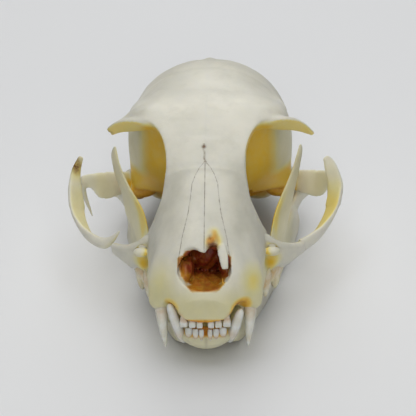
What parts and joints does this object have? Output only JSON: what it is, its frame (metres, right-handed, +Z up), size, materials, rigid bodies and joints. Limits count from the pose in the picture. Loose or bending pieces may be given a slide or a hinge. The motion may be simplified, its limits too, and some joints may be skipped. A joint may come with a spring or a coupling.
{
  "type": "cat skull",
  "caption": "Life-size cat skull with its lower jaw closed: rounded braincase, brow horns, cheek arches, canines and cheek teeth, resting on the lower edge of the jaw.",
  "frame": {"origin": "on the floor, under the middle of the skull's outline", "axes": "+Z up, the nose points along -Y, +X is the skull's own left"},
  "size_m": [0.0686, 0.0879, 0.0457],
  "materials": {
    "bone": "dry cleaned bone, cream white and matte, with amber stain in its hollows",
    "enamel": "smooth tooth enamel, ivory white with a soft gloss"
  },
  "bodies": {
    "root": {"frontal_left": "bone", "frontal_right": "bone", "parietal_left": "bone", "parietal_right": "bone", "temporal_left": "bone", "temporal_right": "bone", "occipital": "bone", "sphenoid": "bone", "bulla_left": "bone", "bulla_right": "bone", "nasal_left": "bone", "nasal_right": "bone", "maxilla_left": "bone", "maxilla_right": "bone", "premaxilla_left": "bone", "premaxilla_right": "bone", "zygomatic_left": "bone", "zygomatic_right": "bone", "mandible_left": "bone", "mandible_right": "bone", "upper_canine_left": "enamel", "upper_canine_right": "enamel", "lower_canine_left": "enamel", "lower_canine_right": "enamel"}
  },
  "joints": []
}
